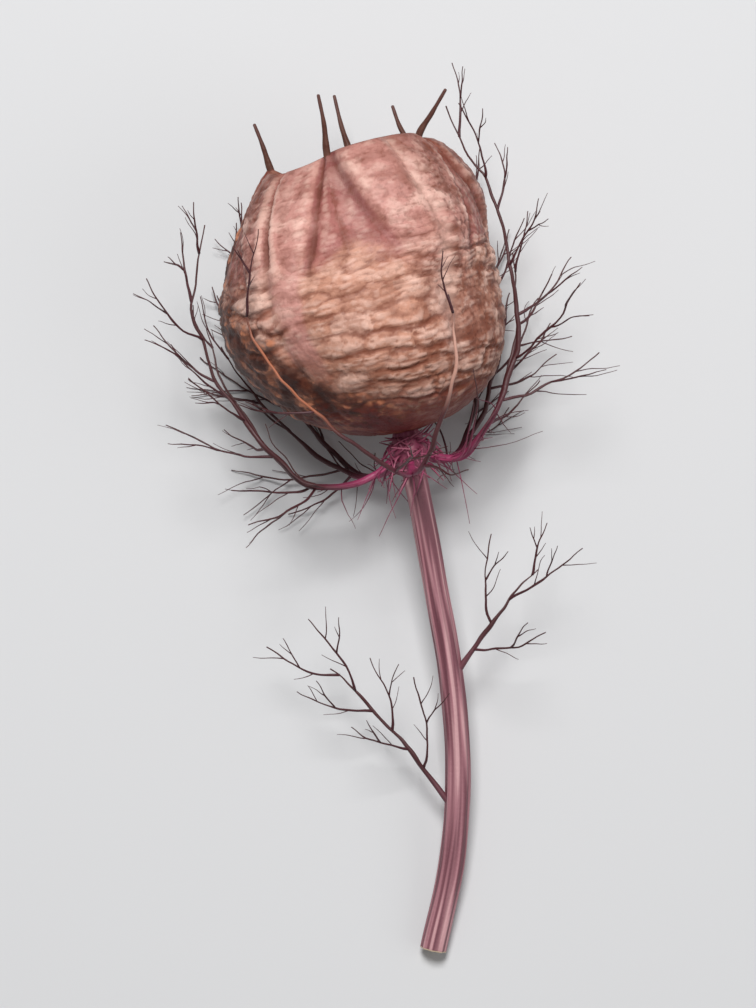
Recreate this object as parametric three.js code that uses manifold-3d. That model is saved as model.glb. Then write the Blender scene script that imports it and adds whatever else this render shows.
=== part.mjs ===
// A dried nigella seed pod as picked: an inflated five-horned capsule in its cage of thread-like bracts, on a
// cut stem with two thread-like leaves. It lies on its side on a table, with the capsule's crown towards +Y.
// Millimetres, +Z up. The origin is on the table, in the middle of the flat spot that the capsule rests on.
import * as THREE from "three";
import { mergeVertices } from "three/addons/utils/BufferGeometryUtils.js";
import Module from "manifold-3d";

const wasm = await Module();
wasm.setup();
const { Manifold, Mesh: SolidMesh } = wasm;
const { clamp, degToRad, euclideanModulo, lerp, radToDeg, smoothstep } = THREE.MathUtils;

// Driving dimensions of the capsule, measured from its base along its own axis
const CAPSULE_HEIGHT = 24;
const CAPSULE_RADIUS = 12.4;
const WIDEST_AT = 0.5; // share of the height
const BASE_ROUNDNESS = 2.15; // superellipse power of the lower half
const SHOULDER_POWER = 2.8; // how late the upper half draws in
const CROWN_RADIUS = 7.1; // ring on which the horns stand
const CROWN_DISH = 2; // how far the middle of the crown lies below its rim
const DISH_POWER = 1.6;
const SLIT_DEPTH = 0.5; // the slits in the crown, along the seams
const CAPSULE_AROUND = 64;
const CAPSULE_ALONG = 36;
const BELLY_SHIFT = 1.65; // the belly bulges to the left of the axis from base to crown
const WALL_SHARE = 0.82; // share of the rows that the wall takes, the rest is the crown

// Horns, one on each carpel: turn from the pod's upper side, length, and outward and sideways lean in degrees
const HORNS = [
  { turn: -16, length: 5.1, lean: 3, swing: 5 },
  { turn: 67, length: 4.5, lean: 40, swing: 4 },
  { turn: 127, length: 3.4, lean: -6, swing: 14 },
  { turn: 176, length: 5.4, lean: 5, swing: 4 },
  { turn: 273, length: 4.0, lean: 4, swing: 0 },
];
const HORN_ROOT_RADIUS = 0.45;
const HORN_TIP_RADIUS = 0.2;
const HORN_SUNK = 1.5;
const HORN_ROOT_INSET = 0.35;
const HORN_NECK_INSET = 0.1;
const HORN_OUTCURVE = 0.05; // share of the length
const HORN_STEPS = 6;
const HORN_SIDES = 6;

// Relief of the capsule's wall. Across a carpel, 0 is the line below its horn and 0.5 its seam to the next.
// A pair of shares of the height is where a form starts and where it has its full depth.
const CARPEL_TWIST = degToRad(12); // below the crown the carpels turn to the right of their horns
const TWIST_DEPTH = 0.35; // share of the height over which they turn
const PANEL_SWELL = 0.8;
const PANEL_BETWEEN = [0.36, 0.7];
const FACET_SINK = 0.45; // the three-cornered facet below each horn
const FACET_FOOT = 0.66; // share of the height
const FACET_BETWEEN = [0.56, 0.72];
const FACET_TOP_WIDTH = 0.07;
const FACET_FOOT_WIDTH = 0.29;
const FACET_EDGE = 0.04;
const RIB_RISE = 0.4;
const RIB_WIDTH = 0.04;
const RIB_BETWEEN = [0.6, 0.8];
const SEAM_DEPTH = 0.26;
const SEAM_BETWEEN = [0.02, 0.2];
const SEAM_SLIT_DEPTH = 0.55;
const SEAM_SLIT_BETWEEN = [0.66, 0.95];
const SEAM_WIDTH = 0.045;
const LOBE_SWELL = 0.15;
const LOBE_BETWEEN = [0.05, 0.3];
const FIN_RISE = 1.25; // the rim climbs this far to the foot of each horn
const SEAM_RISES = [1.8, 0.7, 0.4, 0.3, 0.3]; // and this far at the seam after each horn
const FIN_WIDTH = 0.23;
const RIM_BETWEEN = [0.72, 1];
const RIM_POWER = 1.5;
const HIGHEST_RIM = CAPSULE_HEIGHT + Math.max(FIN_RISE, ...SEAM_RISES);

// How the pod lies: turned to the left seen from above, its crown lifted, and its flat spot on the table
const POD_TURN = degToRad(12);
const POD_LIFT = degToRad(9);
const FLAT_SPOT_DEPTH = 0.6;

// Stem: route of its middle line in the table's frame, after it leaves the collar
const STEM_ROUTE = [
  [6.8, -25, 7.45],
  [8.2, -33, 5.75],
  [8.8, -41, 4.05],
  [8.3, -49, 2.5],
  [6.6, -57, 1.21],
];
const STEM_RADIUS = 1.0;
const STEM_FOOT_RADIUS = 1.12;
const STEM_RIBS = 8;
const STEM_RIB_RISE = 0.06; // share of the radius
const STEM_STEPS = 20;
const STEM_TOP = -1.2; // heights above the capsule's base, on the pod's axis
const STEM_STRAIGHT_TO = -7;

// Collar: the swelling between stem and capsule that carries the bracts, by depths below the capsule's base
const COLLAR_RADIUS = 1.75;
const COLLAR_DEPTH = 1.9;
const COLLAR_SPREAD = 1.5;
const COLLAR_TOP = 0.45;
const COLLAR_FOOT = 5;
const COLLAR_FOOT_RADIUS = 0.7;
const COLLAR_STEPS = 16;
const COLLAR_SIDES = 12;
const PEG_LENGTH = 1.2; // the collar's upper end stands in the capsule

// Bracts: route of a rib as distances from the pod's axis and heights above the capsule's base
const RIB_ROUTE = [
  [0.95, -1.7],
  [3.2, -3.1],
  [6.6, -3.7],
  [10.2, -2.3],
  [12.7, 1.4],
  [13.9, 6],
  [14.2, 11],
  [13.7, 15.5],
  [11.8, 20],
  [9.8, 24.2],
  [9.2, 28],
];
// For each bract: turn at its root and how far it is tucked in below the capsule, then for its main and its
// side rib the degrees they drift round the capsule, their share of the route, how far their ends stand off,
// and the number of their threads
const BRACTS = [
  {
    turn: -4,
    tuck: 1,
    ribs: [
      { drift: -40, reach: 0.66, flare: 0.4, threads: 3 },
      { drift: 34, reach: 0.56, flare: 1, threads: 2 },
    ],
  },
  {
    turn: 68,
    tuck: 3.4,
    ribs: [
      { drift: 14, reach: 0.98, flare: 0.2, threads: 7 },
      { drift: 30, reach: 0.6, flare: 2, threads: 4 },
    ],
  },
  {
    turn: 140,
    tuck: 2,
    ribs: [
      { drift: -4, reach: 0.86, flare: 2, threads: 7 },
      { drift: -20, reach: 0.56, flare: 2, threads: 4 },
    ],
  },
  {
    turn: 212,
    tuck: 0.5,
    ribs: [
      { drift: 12, reach: 0.8, flare: 2, threads: 7 },
      { drift: 32, reach: 0.55, flare: 2, threads: 4 },
    ],
  },
  {
    turn: 284,
    tuck: 0,
    ribs: [
      { drift: -6, reach: 0.84, flare: 3.4, threads: 7 },
      { drift: -30, reach: 0.6, flare: 2, threads: 4 },
    ],
  },
];
const TUCK_AT = 3.4; // places of the route
const TUCK_SPREAD = 1.7;
const TUCK_LIFT = 0.3;
const CLEARED_FROM = 3;
const DRIFT_BETWEEN = [1, 6];
const FLARE_BETWEEN = [5, 10];
const RIB_PLACES = 12;
const THREAD_LENGTH = 9.5;
const THREAD_LEAST = 5.5;
const SIDE_THREAD_LENGTH = 7;

// Stem leaves: where they leave the stem as a share of it, on which side, and their length, rise and threads
const LEAVES = [
  { at: 0.46, side: 1, length: 11, rise: 0.18, threads: 4 },
  { at: 0.72, side: -1, length: 15, rise: 0.03, threads: 6 },
];
const LEAF_ANGLE = degToRad(36);
const LEAF_BEND = 0.2;
const LEAF_SINK = 0.8; // share of its rise that a leaf loses towards its tip
const LEAF_ROOT_OUT = 0.35;
const LEAF_THREAD_SHARE = 0.2;

// Threads of bracts and leaves
const RIB_RADIUS = 0.38;
const RIB_TIP_RADIUS = 0.18;
const THREAD_RADIUS = 0.22;
const TIP_RADIUS = 0.13;
const FORK_ANGLE = degToRad(38);
const FORK_AT = 0.5; // share of the thread
const FORK_LENGTH_SHARE = 0.5;
const FORK_RADIUS = 0.19;
const FORK_LIFT = 0.3;
const FORK_UPCURVE = 0.08;
const THREADS_BETWEEN = [0.26, 0.94]; // shares of the rib
const THREAD_SCATTER = 0.03;
const SPREAD_ANGLES = [60, 38]; // from the rib, for its first and its last thread
const SPREAD_SCATTER = 16;
const RAISED_ANGLES = [14, 70]; // out of the frond's own face
const LENGTH_SCATTER = [0.8, 1.2];
const THREAD_BEND_ALONG = 0.26;
const THREAD_BEND_IN = 0.2;
const MAIN_RIB_STEPS = 14;
const SIDE_RIB_STEPS = 10;
const THREAD_PLACES = [0, 0.3, 0.65, 1]; // shares of a thread at which its curve is held
const THREAD_STEPS = 5;
const FORK_STEPS = 3;
const RIB_SIDES = 5;
const THREAD_SIDES = 3;
const CLEAR_OF_CAPSULE = 0.6;
const CLEAR_OF_TABLE = 0.06;
const CLEARING_PASSES = 12;
const SOCKET_GAP = 0.12; // room round a root in its socket
const SOCKET_SIDES = 8;
const BRACT_SOCKET_INNER = 0.2; // how far the sockets go on behind the roots
const LEAF_SOCKET_INNER = 0.15;
const LEAF_SOCKET_OUTER = 3;
const TABLE_SIDE = 60;
const JOINED_WITHIN = 1e-4; // corners closer than this are one
const SEED = 41;

const dried = (color, roughness) => new THREE.MeshStandardMaterial({ color, roughness, metalness: 0 });
const capsuleSkin = dried(0xa9745f, 0.5);
const stemSkin = dried(0x8a5a60, 0.6);
const bractSkin = dried(0x6f343f, 0.65);
const leafSkin = dried(0x5f3a34, 0.7);

// A stream of even draws from 0 to 1 that is the same on every run
function seededDraws(seed) {
  let state = seed >>> 0;
  return () => {
    state = (state + 0x6d2b79f5) >>> 0;
    let mixed = Math.imul(state ^ (state >>> 15), 1 | state);
    mixed = (mixed + Math.imul(mixed ^ (mixed >>> 7), 61 | mixed)) ^ mixed;
    return ((mixed ^ (mixed >>> 14)) >>> 0) / 4294967296;
  };
}

function solidOf(geometry) {
  const bare = geometry.clone();
  bare.deleteAttribute("normal");
  bare.deleteAttribute("uv");
  const joined = mergeVertices(bare, JOINED_WITHIN);
  const vertProperties = new Float32Array(joined.getAttribute("position").array);
  const triVerts = new Uint32Array(joined.index.array);
  return new Manifold(new SolidMesh({ numProp: 3, vertProperties, triVerts }));
}

function geometryOf(solid) {
  const made = solid.getMesh();
  const geometry = new THREE.BufferGeometry();
  geometry.setAttribute("position", new THREE.BufferAttribute(made.vertProperties, 3));
  geometry.setIndex(new THREE.BufferAttribute(made.triVerts, 1));
  const faceted = geometry.toNonIndexed();
  faceted.computeVertexNormals();
  return faceted;
}

function namedMesh(name, solid, material) {
  const mesh = new THREE.Mesh(geometryOf(solid), material);
  mesh.name = name;
  return mesh;
}

// A closed tube: a capped cylinder whose rings are carried along a curve. radiusAt takes the share of the way
// along and the turn round the tube.
function tubeAlong(curve, steps, sides, radiusAt) {
  const tube = new THREE.CylinderGeometry(1, 1, 1, sides, steps);
  const { normals, binormals } = curve.computeFrenetFrames(steps);
  const places = tube.getAttribute("position");
  const place = new THREE.Vector3();
  for (let i = 0; i < places.count; i++) {
    place.fromBufferAttribute(places, i);
    const step = Math.round((place.y + 0.5) * steps);
    const radius = radiusAt(step / steps, Math.atan2(place.z, place.x));
    const { x, z } = place;
    place.copy(curve.getPointAt(step / steps));
    place.addScaledVector(binormals[step], x * radius);
    place.addScaledVector(normals[step], z * radius);
    places.setXYZ(i, place.x, place.y, place.z);
  }
  return tube;
}

const tapering = (root, tip) => (share) => lerp(root, tip, share);

// The pod's own frame: its axis runs from the base of the capsule to the crown, and turn 0 is its upper side.
const crownWard = new THREE.Vector3(
  -Math.sin(POD_TURN) * Math.cos(POD_LIFT),
  Math.cos(POD_TURN) * Math.cos(POD_LIFT),
  Math.sin(POD_LIFT),
);
const rightWard = new THREE.Vector3(Math.cos(POD_TURN), Math.sin(POD_TURN), 0);
const upperSide = new THREE.Vector3().crossVectors(rightWard, crownWard);
const pod = new THREE.Group();
pod.quaternion.setFromRotationMatrix(new THREE.Matrix4().makeBasis(upperSide, rightWard, crownWard));
pod.position.set(0, 0, CAPSULE_RADIUS - FLAT_SPOT_DEPTH);
pod.position.addScaledVector(crownWard, -CAPSULE_HEIGHT * WIDEST_AT).addScaledVector(rightWard, BELLY_SHIFT);
pod.updateMatrix();
const toPod = pod.matrix.clone().invert();
const tablePlane = new THREE.Plane(new THREE.Vector3(0, 0, 1), 0);
const tableInPod = tablePlane.clone().applyMatrix4(toPod);

const podPoint = (radius, turn, height) =>
  new THREE.Vector3(radius * Math.cos(turn), radius * Math.sin(turn), height);

// Shifts what was laid out round a straight axis, capsule and bracts, to the left by the belly's bulge.
function bellied(geometry) {
  const places = geometry.getAttribute("position");
  for (let i = 0; i < places.count; i++) {
    const share = clamp(places.getZ(i) / CAPSULE_HEIGHT, 0, 1);
    places.setY(i, places.getY(i) - BELLY_SHIFT * Math.sin(Math.PI * share) ** 2);
  }
  return geometry;
}

// Signed share of a carpel from the line below its horn, and the number of the horn before the seam on that
// side. Carpels differ in width, and seams lie midway.
function carpelAt(turn) {
  for (let seam = 0; seam < HORNS.length; seam++) {
    const after = euclideanModulo(radToDeg(turn) - HORNS[seam].turn, 360);
    const gap = euclideanModulo(HORNS[(seam + 1) % HORNS.length].turn - HORNS[seam].turn, 360);
    if (after <= gap) return { across: after < gap / 2 ? after / gap : after / gap - 1, seam };
  }
}

// The smooth wall's radius at a share of the capsule's height
function wallRadius(share) {
  if (share < WIDEST_AT) {
    const below = clamp(1 - share / WIDEST_AT, 0, 1);
    return CAPSULE_RADIUS * (1 - below ** BASE_ROUNDNESS) ** (1 / BASE_ROUNDNESS);
  }
  const above = (share - WIDEST_AT) / (1 - WIDEST_AT);
  return lerp(CAPSULE_RADIUS, CROWN_RADIUS, above ** SHOULDER_POWER);
}

// How far the wall stands out of that radius: swollen panels, sunk facets with a rib, and the carpels' seams
function wallRelief(turn, share) {
  const twist = CARPEL_TWIST * smoothstep(1 - share, 0, TWIST_DEPTH);
  const away = Math.abs(carpelAt(turn - twist).across);
  const fromSeam = 0.5 - away;
  const upper = smoothstep(share, ...PANEL_BETWEEN);
  const rising = clamp((share - FACET_FOOT) / (1 - FACET_FOOT), 0, 1);
  const facetWidth = lerp(FACET_FOOT_WIDTH, FACET_TOP_WIDTH, rising);
  const facet = 1 - smoothstep(away, facetWidth - FACET_EDGE, facetWidth + FACET_EDGE);
  const acrossPanel = clamp(fromSeam / (0.5 - facetWidth), 0, 1);
  const panel = (1 - facet) * (1 - acrossPanel ** 2);
  const rib = Math.exp(-((away / RIB_WIDTH) ** 2)) * smoothstep(share, ...RIB_BETWEEN);
  const seam = Math.exp(-((fromSeam / SEAM_WIDTH) ** 2));
  const slit = SEAM_SLIT_DEPTH * smoothstep(share, ...SEAM_SLIT_BETWEEN);
  const sunkSeam = (SEAM_DEPTH * smoothstep(share, ...SEAM_BETWEEN) + slit) * seam;
  const lobe = LOBE_SWELL * Math.cos(2 * Math.PI * away) * smoothstep(share, ...LOBE_BETWEEN) * (1 - upper);
  const sunkFacet = FACET_SINK * facet * smoothstep(share, ...FACET_BETWEEN);
  return PANEL_SWELL * panel * upper + RIB_RISE * rib + lobe - sunkFacet - sunkSeam;
}

function rimRise(turn) {
  const { across, seam } = carpelAt(turn);
  return lerp(SEAM_RISES[seam], FIN_RISE, Math.exp(-Math.abs(across) / FIN_WIDTH));
}

function wallPoint(turn, share) {
  const radius = Math.max(wallRadius(share) + wallRelief(turn, share), 0);
  const lifted = CAPSULE_HEIGHT * share + rimRise(turn) * smoothstep(share, ...RIM_BETWEEN) ** RIM_POWER;
  return podPoint(radius, turn, lifted);
}

// The crown is a dish that falls from the rim to the middle, with a slit along each seam.
function crownPoint(turn, inward) {
  const rim = wallPoint(turn, 1);
  const outward = 1 - inward;
  const fromSeam = 0.5 - Math.abs(carpelAt(turn).across);
  const slit = SLIT_DEPTH * Math.exp(-((fromSeam / SEAM_WIDTH) ** 2)) * 4 * inward * outward;
  const height = lerp(CAPSULE_HEIGHT - CROWN_DISH, rim.z, outward ** DISH_POWER) - slit;
  return podPoint(Math.hypot(rim.x, rim.y) * outward, turn, height);
}

// Rows of the wall lie closer together towards the base, where it turns in.
const easedShare = (share) =>
  share < 0.5 ? WIDEST_AT * (1 - Math.cos(Math.PI * share)) : lerp(WIDEST_AT, 1, 2 * share - 1);

function capsuleGeometry() {
  const ball = new THREE.SphereGeometry(1, CAPSULE_AROUND, CAPSULE_ALONG);
  const places = ball.getAttribute("position");
  const place = new THREE.Vector3();
  for (let i = 0; i < places.count; i++) {
    place.fromBufferAttribute(places, i);
    const turn = Math.atan2(place.x, place.z);
    const row = 1 - Math.acos(clamp(place.y, -1, 1)) / Math.PI;
    if (row <= WALL_SHARE) {
      place.copy(wallPoint(turn, easedShare(row / WALL_SHARE)));
    } else {
      place.copy(crownPoint(turn, (row - WALL_SHARE) / (1 - WALL_SHARE)));
    }
    places.setXYZ(i, place.x, place.y, place.z);
  }
  return ball;
}

function hornTube(horn) {
  const { length, lean, swing } = horn;
  const turn = degToRad(horn.turn);
  const foot = wallPoint(turn, 1);
  const outward = podPoint(1, turn, 0);
  const sideways = podPoint(1, turn + Math.PI / 2, 0);
  const direction = new THREE.Vector3(0, 0, 1)
    .addScaledVector(outward, Math.tan(degToRad(lean)))
    .addScaledVector(sideways, Math.tan(degToRad(swing)))
    .normalize();
  const root = foot.clone().addScaledVector(outward, -HORN_ROOT_INSET);
  root.z -= HORN_SUNK;
  const neck = foot.clone().addScaledVector(outward, -HORN_NECK_INSET);
  const middle = foot.clone().addScaledVector(direction, length / 2);
  const tip = foot.clone().addScaledVector(direction, length).addScaledVector(outward, length * HORN_OUTCURVE);
  const curve = new THREE.CatmullRomCurve3([root, neck, middle, tip]);
  return tubeAlong(curve, HORN_STEPS, HORN_SIDES, tapering(HORN_ROOT_RADIUS, HORN_TIP_RADIUS));
}

const onAxis = (height) => podPoint(0, 0, height).applyMatrix4(pod.matrix);

// The stem runs from inside the collar, out along the pod's axis and down to the table.
const stemLine = new THREE.CatmullRomCurve3([
  onAxis(STEM_TOP),
  onAxis(STEM_STRAIGHT_TO),
  ...STEM_ROUTE.map((place) => new THREE.Vector3(...place)),
]);

const stemRadius = (share, turn) =>
  lerp(STEM_RADIUS, STEM_FOOT_RADIUS, share) * (1 + STEM_RIB_RISE * Math.cos(STEM_RIBS * turn));

// The collar is a peg in the capsule, then swells, and closes inside the stem.
function collarRadius(share) {
  const depth = lerp(-PEG_LENGTH, COLLAR_FOOT, share);
  const swell = Math.exp(-(((depth - COLLAR_DEPTH) / COLLAR_SPREAD) ** 2));
  const closing = clamp((depth - COLLAR_DEPTH) / (COLLAR_FOOT - COLLAR_DEPTH), 0, 1);
  const core = lerp(STEM_RADIUS, COLLAR_FOOT_RADIUS, closing);
  return depth < COLLAR_TOP ? STEM_RADIUS : core + (COLLAR_RADIUS - STEM_RADIUS) * swell;
}

// Moves a thread's point out of the capsule and up off the table, by turns, so it slides out between them.
function clearedInPod(point, radius) {
  for (let pass = 0; pass < CLEARING_PASSES; pass++) {
    const share = clamp(point.z / CAPSULE_HEIGHT, 0, 1);
    const turn = Math.atan2(point.y, point.x);
    const least = wallRadius(share) + Math.max(wallRelief(turn, share), 0) + CLEAR_OF_CAPSULE + radius;
    const from = Math.hypot(point.x, point.y);
    if (point.z > 0 && point.z < HIGHEST_RIM && from < least) {
      point.multiply(new THREE.Vector3(least / from, least / from, 1));
    }
    const low = radius + CLEAR_OF_TABLE - tableInPod.distanceToPoint(point);
    if (low > 0) point.addScaledVector(tableInPod.normal, low);
  }
  return point;
}

function clearedOnTable(point, radius) {
  point.z = Math.max(point.z, radius + CLEAR_OF_TABLE);
  return point;
}

// The direction at an angle from one direction towards another that is square to it
const between = (from, to, angle) =>
  from.clone().multiplyScalar(Math.cos(angle)).addScaledVector(to, Math.sin(angle));

// A thread that leaves start along a direction and bends as it goes
function threadCurve(start, direction, bend, length, radius, cleared) {
  const points = THREAD_PLACES.map((share) => {
    const point = start.clone().addScaledVector(direction, length * share);
    point.addScaledVector(bend, length * share * share);
    return share > 0 ? cleared(point, radius) : point;
  });
  return new THREE.CatmullRomCurve3(points);
}

// A frond's threads leave its rib to both sides in turn. Those of a main rib are forked near their middle.
function frondTubes({ rib, threads, longest, outwardAt, cleared, forked, draw }) {
  const ribSteps = forked ? MAIN_RIB_STEPS : SIDE_RIB_STEPS;
  const tubes = [tubeAlong(rib, ribSteps, RIB_SIDES, tapering(RIB_RADIUS, RIB_TIP_RADIUS))];
  for (let i = 0; i < threads; i++) {
    const order = i / (threads - 1);
    const at = lerp(...THREADS_BETWEEN, order) + THREAD_SCATTER * (draw() - 0.5);
    const side = i % 2 ? 1 : -1;
    const start = rib.getPointAt(at);
    const along = rib.getTangentAt(at);
    const outward = outwardAt(start).projectOnPlane(along).normalize();
    const across = new THREE.Vector3().crossVectors(outward, along).multiplyScalar(side);
    const spread = degToRad(lerp(...SPREAD_ANGLES, order) + SPREAD_SCATTER * (draw() - 0.5));
    const raised = degToRad(lerp(...RAISED_ANGLES, draw()));
    const sidelong = between(across, outward, raised);
    const direction = between(along, sidelong, spread);
    const bend = along.clone().multiplyScalar(THREAD_BEND_ALONG).addScaledVector(sidelong, -THREAD_BEND_IN);
    const length = lerp(longest, THREAD_LEAST, order) * lerp(...LENGTH_SCATTER, draw());
    const thread = threadCurve(start, direction, bend, length, THREAD_RADIUS, cleared);
    tubes.push(tubeAlong(thread, THREAD_STEPS, THREAD_SIDES, tapering(THREAD_RADIUS, TIP_RADIUS)));
    if (!forked) continue;
    const forkSide = draw() < 0.5 ? 1 : -1;
    const forkWay = thread.getTangentAt(FORK_AT).applyAxisAngle(outward, forkSide * FORK_ANGLE);
    forkWay.addScaledVector(outward, FORK_LIFT).normalize();
    const upcurve = outward.clone().multiplyScalar(FORK_UPCURVE);
    const forkLength = length * FORK_LENGTH_SHARE;
    const fork = threadCurve(thread.getPointAt(FORK_AT), forkWay, upcurve, forkLength, THREAD_RADIUS, cleared);
    tubes.push(tubeAlong(fork, FORK_STEPS, THREAD_SIDES, tapering(FORK_RADIUS, TIP_RADIUS)));
  }
  return tubes;
}

// A bract's rib. A side rib starts at the second place of the route, inside the main rib.
function bractRib({ turn, tuck }, { drift, reach, flare }, firstStep) {
  const route = RIB_ROUTE.slice(firstStep).map(([radius, height], index) => {
    const step = index + firstStep;
    const drifted = degToRad(turn + drift * smoothstep(step, ...DRIFT_BETWEEN));
    const tucked = tuck * Math.exp(-(((step - TUCK_AT) / TUCK_SPREAD) ** 2));
    const out = radius + flare * smoothstep(step, ...FLARE_BETWEEN) - tucked;
    const point = podPoint(out, drifted, height + TUCK_LIFT * tucked);
    return step < CLEARED_FROM ? point : clearedInPod(point, RIB_RADIUS);
  });
  const whole = new THREE.CatmullRomCurve3(route);
  const step = reach / (RIB_PLACES - 1);
  const kept = Array.from({ length: RIB_PLACES }, (_, place) => whole.getPointAt(step * place));
  return new THREE.CatmullRomCurve3(kept);
}

const awayFromAxis = (point) => new THREE.Vector3(point.x, point.y, 0);

function bractSolid(bract, index) {
  const draw = seededDraws(SEED + index);
  const cleared = clearedInPod;
  const outwardAt = awayFromAxis;
  const [mainRib, sideRib] = bract.ribs.map((rib, firstStep) => bractRib(bract, rib, firstStep));
  const [mainThreads, sideThreads] = bract.ribs.map(({ threads }) => threads);
  const main = { rib: mainRib, threads: mainThreads, longest: THREAD_LENGTH, forked: true };
  const side = { rib: sideRib, threads: sideThreads, longest: SIDE_THREAD_LENGTH, forked: false };
  const tubes = [main, side].flatMap((part) => frondTubes({ ...part, outwardAt, cleared, draw }));
  return Manifold.union(tubes.map((tube) => solidOf(bellied(tube))));
}

// Room in the collar for a bract's root
function bractSocket({ turn }) {
  const [[radius, height], [outerRadius, outerHeight]] = RIB_ROUTE;
  const inner = podPoint(radius - BRACT_SOCKET_INNER, degToRad(turn), height + SOCKET_GAP);
  const outer = podPoint(outerRadius, degToRad(turn), outerHeight);
  const line = new THREE.LineCurve3(inner, outer);
  const room = RIB_RADIUS + SOCKET_GAP;
  return solidOf(tubeAlong(line, 1, SOCKET_SIDES, () => room).applyMatrix4(pod.matrix));
}

function leafRib({ at, side, length, rise }) {
  const start = stemLine.getPointAt(at);
  const along = stemLine.getTangentAt(at).negate();
  const across = new THREE.Vector3(along.y, -along.x, 0).normalize().multiplyScalar(side);
  const direction = between(along, across, LEAF_ANGLE);
  direction.z += rise;
  const bend = across.clone().multiplyScalar(LEAF_BEND);
  bend.z -= rise * LEAF_SINK;
  const root = start.addScaledVector(across, LEAF_ROOT_OUT);
  return threadCurve(root, direction.normalize(), bend, length, RIB_RADIUS, clearedOnTable);
}

const upWard = () => new THREE.Vector3(0, 0, 1);

function leafSolid(leaf, index) {
  const draw = seededDraws(SEED + BRACTS.length + index);
  const longest = THREAD_LEAST + leaf.length * LEAF_THREAD_SHARE;
  const shape = { rib: leafRib(leaf), threads: leaf.threads, longest, forked: true };
  const tubes = frondTubes({ ...shape, outwardAt: upWard, cleared: clearedOnTable, draw });
  return Manifold.union(tubes.map(solidOf));
}

// Room in the stem for a leaf's root
function leafSocket(leaf) {
  const rib = leafRib(leaf);
  const start = rib.getPointAt(0).addScaledVector(rib.getTangentAt(0), -LEAF_SOCKET_INNER);
  const end = rib.getPointAt(0).addScaledVector(rib.getTangentAt(0), LEAF_SOCKET_OUTER);
  const line = new THREE.LineCurve3(start, end);
  return solidOf(tubeAlong(line, 1, SOCKET_SIDES, () => RIB_RADIUS + SOCKET_GAP));
}

function capsuleSolid() {
  const whole = Manifold.union([bellied(capsuleGeometry()), ...HORNS.map(hornTube)].map(solidOf));
  const tableTop = new THREE.BoxGeometry(TABLE_SIDE, TABLE_SIDE, TABLE_SIDE).translate(0, 0, -TABLE_SIDE / 2);
  const pegRoom = new THREE.CylinderGeometry(1, 1, 2, COLLAR_SIDES).rotateX(Math.PI / 2);
  pegRoom.scale(STEM_RADIUS + SOCKET_GAP, STEM_RADIUS + SOCKET_GAP, PEG_LENGTH + SOCKET_GAP);
  return whole.subtract(solidOf(tableTop.applyMatrix4(toPod))).subtract(solidOf(pegRoom));
}

function stemSolid() {
  const collarLine = new THREE.LineCurve3(onAxis(PEG_LENGTH), onAxis(-COLLAR_FOOT));
  const collar = solidOf(tubeAlong(collarLine, COLLAR_STEPS, COLLAR_SIDES, collarRadius));
  const whole = collar.add(solidOf(tubeAlong(stemLine, STEM_STEPS, STEM_RIBS * 2, stemRadius)));
  return whole.subtract(Manifold.union([...BRACTS.map(bractSocket), ...LEAVES.map(leafSocket)]));
}

const nigellaPod = new THREE.Group();
pod.add(namedMesh("capsule", capsuleSolid(), capsuleSkin));
BRACTS.forEach((bract, index) => {
  pod.add(namedMesh(`bract_${index + 1}`, bractSolid(bract, index), bractSkin));
});
nigellaPod.add(pod, namedMesh("stem", stemSolid(), stemSkin));
LEAVES.forEach((leaf, index) => {
  nigellaPod.add(namedMesh(`stem_leaf_${index + 1}`, leafSolid(leaf, index), leafSkin));
});

export default nigellaPod;
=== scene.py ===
# %% [markdown]
# # A dried nigella seed pod
#
# One pod as picked: an inflated papery capsule with five horns, a cage of thread-like bracts round it, and a
# cut stem with two thread-like leaves. It lies on its side on a pale table, and the camera looks down on it.
#
# The solid model gives every piece its place and its form. Here the same rules are followed with many more
# points, so each piece keeps that form and gains what is too fine for a solid: puckers in the wall, thin forks
# and hairs on the bracts, ribs on the stem. Lengths are in millimetres until a mesh is made.

# %% Load the solid model
import math

import bpy
import numpy as np
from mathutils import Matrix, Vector, noise


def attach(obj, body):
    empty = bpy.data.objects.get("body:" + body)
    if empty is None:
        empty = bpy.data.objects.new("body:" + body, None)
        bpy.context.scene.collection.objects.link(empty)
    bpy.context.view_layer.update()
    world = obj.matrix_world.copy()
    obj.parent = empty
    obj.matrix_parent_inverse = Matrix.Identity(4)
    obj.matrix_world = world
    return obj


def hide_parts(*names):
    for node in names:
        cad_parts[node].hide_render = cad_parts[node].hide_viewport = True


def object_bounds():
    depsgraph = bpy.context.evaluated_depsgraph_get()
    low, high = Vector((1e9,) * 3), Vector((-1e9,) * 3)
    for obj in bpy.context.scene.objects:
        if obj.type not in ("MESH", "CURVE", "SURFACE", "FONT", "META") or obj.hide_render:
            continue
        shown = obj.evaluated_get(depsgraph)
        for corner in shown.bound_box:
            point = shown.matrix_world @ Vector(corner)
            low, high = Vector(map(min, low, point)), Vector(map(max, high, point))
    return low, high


MM = 0.001
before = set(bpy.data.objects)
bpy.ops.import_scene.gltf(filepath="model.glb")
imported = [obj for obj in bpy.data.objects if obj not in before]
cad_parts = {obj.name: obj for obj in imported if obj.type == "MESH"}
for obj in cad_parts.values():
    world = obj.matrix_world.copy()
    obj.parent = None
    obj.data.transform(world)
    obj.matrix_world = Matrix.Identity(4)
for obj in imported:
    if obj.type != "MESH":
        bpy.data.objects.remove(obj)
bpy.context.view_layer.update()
print("nodes:", sorted(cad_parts))

# %% [markdown]
# ## The pod's own frame
#
# The capsule, its horns and its bracts are easiest to describe upright, round an axis from the base of the
# capsule to its crown. Turn 0 is the side that faces up once the pod lies down, and turns grow to the right.

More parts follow.
